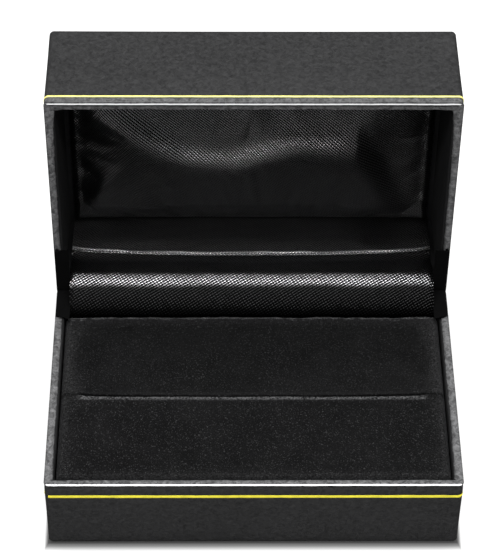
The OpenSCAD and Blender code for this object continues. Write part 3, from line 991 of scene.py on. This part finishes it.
def satin_roll():
    """Satin sheet arched over the hinge, from behind the ring pad to beneath the flap."""
    lid_end, front, drop, rise, arch, skew = 10.0, PAD_BACK_Y - HINGE_Y + 0.1, 1.6, 1.0, 3.9, 1.35
    back_power, front_power = 1.7, 0.62             # hollow behind the crest, full before it
    nx, steps = 190, 56
    verts, uvs, shaded = [], [], []
    for i in range(nx + 1):
        x = lerp(-CUSHION_W / 2, CUSHION_W / 2, i / nx)
        share = abs(x) / (CUSHION_W / 2)
        row, run = [], 0.0
        for k in range(steps + 1):
            t = k / steps
            dy = lerp(lid_end, front + 0.3, t)
            swell = max(0.0, math.sin(math.pi * t ** skew))
            dz = rise - t * (rise + drop) + arch * swell ** (back_power if t ** skew < 0.5 else front_power)
            fold = math.sin(math.pi * t)
            dz += fold * (0.16 * wobble(x, dy * 0.35, 51, 6.0) + 0.07 * wobble(x, dy * 0.5, 53, 2.2))
            dz -= 0.5 * fold * float(smooth(0.975, 1.0, share))
            row.append((dy, dz))
        for dz in np.linspace(-drop - 0.4, -5.0, 8):
            row.append((front + 0.25, float(dz)))
        last = row[0]
        # painted shade: dark everywhere but a band at the crest, darker on the front down to the pad than
        # towards the lid
        crest = 0.655 + 0.02 * wobble(x, 0, 57, 9.0)
        for k, (dy, dz) in enumerate(row):
            off = k / steps - crest
            depth, width = (0.45, 0.10) if off < 0 else (0.97, 0.075)
            shaded.append(depth * (1 - math.exp(-(off / width) ** 4)))
            run += math.hypot(dy - last[0], dz - last[1])
            last = (dy, dz)
            verts.append((x, HINGE_Y + dy, HINGE_Z + dz))
            uvs.append((x, run))
    obj = new_object("satin_roll", verts, strip_faces(nx, len(row)), ROLL_SATIN, uvs)
    paint(obj, "shade", shaded)
    obj.data.shade_smooth()
    return obj


satin_roll_piece = satin_roll()
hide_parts("satin_hinge_strip")
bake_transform(satin_roll_piece)


# ---------------------------------------------------------------- black cloth over the ends of the hinge

def hinge_tape(name, side):
    """Narrow strip of black cloth over the walls' ends, from the base's rim to the lid's."""
    lean = math.tan(math.radians(OPEN_ANGLE - 90))
    path = [(-6.4 + 0.4 * k, -0.05) for k in range(15)]
    turn = [math.radians(a) for a in range(0, 91, 15)]
    path += [(-0.55 + 0.6 * math.sin(a), 0.55 - 0.6 * math.cos(a)) for a in turn]
    path += [(0.05 + lean * z, z) for z in (0.9 + 0.4 * k for k in range(25))]
    thick, inner_x, outer_x = 0.1, 35.15, 37.85
    columns = 7
    n = len(path)

    def point(k, c, lift):
        y, z = path[k]
        share = c / (columns - 1)
        x = lerp(inner_x, outer_x, share) + (0.06 * wobble(k, seed, 0, 3.0) if c in (0, columns - 1) else 0.0)
        start = max(0.0, 1.0 - k / 4)
        finish_share = max(0.0, 1.0 - (n - 1 - k) / 4)
        y -= start * (0.9 * (1 - share) + 0.3 * wobble(c, seed, 2, 1.3))
        z += finish_share * (0.8 * (1 - share) + 0.5 * wobble(c, seed, 5, 1.3))
        rough = 0.03 * wobble(k, c, seed, 2.0)
        edge = 0.06 if c in (0, columns - 1) else 0.0
        on_base = z < 0.5
        if on_base:
            return side * x, HINGE_Y + y, HINGE_Z + z + lift - edge + rough
        return side * x, HINGE_Y + y - lift + edge + rough, HINGE_Z + z

    seed = 80 + side
    verts, faces = [], []
    for k in range(n):
        verts += [point(k, c, thick) for c in range(columns)]
        verts += [point(k, c, 0.0) for c in range(columns - 1, -1, -1)]
    ring = 2 * columns
    for k in range(n - 1):
        for c in range(ring):
            d = (c + 1) % ring
            faces.append((k * ring + c, k * ring + d, (k + 1) * ring + d, (k + 1) * ring + c))
    faces.append(tuple(range(ring - 1, -1, -1)))
    faces.append(tuple((n - 1) * ring + c for c in range(ring)))
    obj = new_object(name, verts, faces, TAPE)
    tidy_normals(obj, 60)
    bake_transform(obj)


hinge_tape("left_hinge_tape", -1)
hinge_tape("right_hinge_tape", 1)


# ---------------------------------------------------------------- snap spring

def snap_spring():
    """Flat spring bent round the knuckles."""
    thick, radius = 0.3, 1.6
    lean = math.tan(math.radians(OPEN_ANGLE - 90))
    path = [(-0.4, -9.0), (-0.4, -8.0), (-0.4, -7.0), (-0.55, -6.3), (-1.0, -5.6), (-1.55, -5.0), (-1.6, -4.0),
            (-1.6, -3.0), (-1.6, -2.0), (-1.6, -1.0)]
    turn = [math.radians(a) for a in range(180, 89, -10)]
    path += [(radius * math.cos(a), radius * math.sin(a)) for a in turn]
    path += [(1.0, 1.6), (2.0, 1.6), (3.0, 1.6), (4.3, 1.55), (4.9, 1.2), (5.4, 0.75), (5.9, 0.47 - 5.9 * lean),
             (6.8, 0.47 - 6.8 * lean), (7.7, 0.47 - 7.7 * lean)]
    outer, inner = [], []
    for k, (y, z) in enumerate(path):
        a, b = path[max(k - 1, 0)], path[min(k + 1, len(path) - 1)]
        d = math.hypot(b[0] - a[0], b[1] - a[1])
        ny, nz = -(b[1] - a[1]) / d, (b[0] - a[0]) / d
        outer.append((y + ny * thick / 2, z + nz * thick / 2))
        inner.append((y - ny * thick / 2, z - nz * thick / 2))
    ring = outer + inner[::-1]
    xs = np.linspace(-8.0, 8.0, 13)
    verts, faces = loft(xs, lambda i: [(float(xs[i]), HINGE_Y + y, HINGE_Z + z) for y, z in ring])
    obj = new_object("spring", verts, faces, SPRING_STEEL)
    tidy_normals(obj, 35)
    return obj


spring = snap_spring()
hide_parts("snap_spring")
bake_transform(spring)


# ---------------------------------------------------------------- camera, light and floor

SENSOR = 36.0
LENS = SENSOR * 2230.4 / 559.0                      # 559 is the picture's longer side
TILT = math.radians(46.57)
TURN = math.radians(-0.508)
BACK_OFF, RAISE, ASIDE = 434.59, -2.31, -5.54       # of the camera, from the hinge's middle

camera_data = bpy.data.cameras.new("camera")
camera_data.sensor_width = SENSOR
camera_data.lens = LENS
camera_data.clip_start, camera_data.clip_end = 0.01, 20.0
camera = bpy.data.objects.new("camera", camera_data)
bpy.context.scene.collection.objects.link(camera)
look = Vector((0, math.cos(TILT), -math.sin(TILT)))
up = Vector((0, math.sin(TILT), math.cos(TILT)))
camera.location = (Vector((ASIDE, HINGE_Y, HINGE_Z)) - BACK_OFF * look - RAISE * up) * MM
camera.rotation_mode = "QUATERNION"
facing = Matrix.Rotation(math.pi / 2 - TILT, 3, "X") @ Matrix.Rotation(TURN, 3, "Y")
camera.rotation_quaternion = facing.to_quaternion()
bpy.context.scene.camera = camera


def area_light(name, place, target, size, power):
    data = bpy.data.lights.new(name, "AREA")
    data.shape = "RECTANGLE"
    data.size, data.size_y = size
    data.energy = power
    light = bpy.data.objects.new(name, data)
    bpy.context.scene.collection.objects.link(light)
    light.location = place
    light.rotation_mode = "QUATERNION"
    light.rotation_quaternion = (Vector(target) - Vector(place)).to_track_quat("-Z", "Y")


area_light("softbox above", (0.0, 0.12, 0.75), (0, 0, 0.02), (1.1, 0.60), 11.0)
area_light("strip over the front", (0.0, -0.36, 0.70), (0, 0, 0.03), (1.0, 0.12), 4.5)
area_light("softbox low in front", (-0.12, -0.75, 0.22), (0, 0, 0.03), (0.8, 0.2), 0.8)

world = bpy.data.worlds.new("studio")
bpy.context.scene.world = world
world.use_nodes = True
background = world.node_tree.nodes["Background"]
background.inputs["Color"].default_value = (1, 1, 1, 1)
background.inputs["Strength"].default_value = 0.04

floor_material, floor_tree, floor_shader = new_material("pale floor")
floor_shader.inputs["Roughness"].default_value = 0.9
axes = node(floor_tree, "ShaderNodeSeparateXYZ")
floor_tree.links.new(node(floor_tree, "ShaderNodeTexCoord").outputs["Object"], axes.inputs["Vector"])


def away_from_base(axis, half_side, reach):
    """0 at the base's side, and 1 at this distance from it."""
    far = math_node(floor_tree, "ABSOLUTE", axes.outputs[axis], 0)
    return math_node(floor_tree, "MULTIPLY_ADD", far, 1 / (reach * MM), -half_side / reach)


away = math_node(floor_tree, "MAXIMUM",
                 away_from_base("Y", BOX_D / 2, 2.5), away_from_base("X", BOX_W / 2, 1.0))
# painted shadow: the floor's colour and glow darken next to the base
shade = ramp(floor_tree, away, (0.0, grey(0.06)), (0.12, grey(0.16)), (0.30, grey(0.26)), (0.52, grey(0.6)),
             (0.75, grey(1.0)))
floor_tree.links.new(shade, floor_shader.inputs["Emission Color"])
floor_tree.links.new(math_node(floor_tree, "MULTIPLY", shade, 0.3), floor_shader.inputs["Base Color"])
floor_shader.inputs["Emission Strength"].default_value = 0.7
REACH = 2000
corners = [(-REACH, -REACH, 0), (REACH, -REACH, 0), (REACH, REACH, 0), (-REACH, REACH, 0)]
floor = new_object("floor", corners, [(0, 1, 2, 3)], floor_material)
floor.visible_glossy = False

bpy.context.scene.view_settings.view_transform = "Standard"
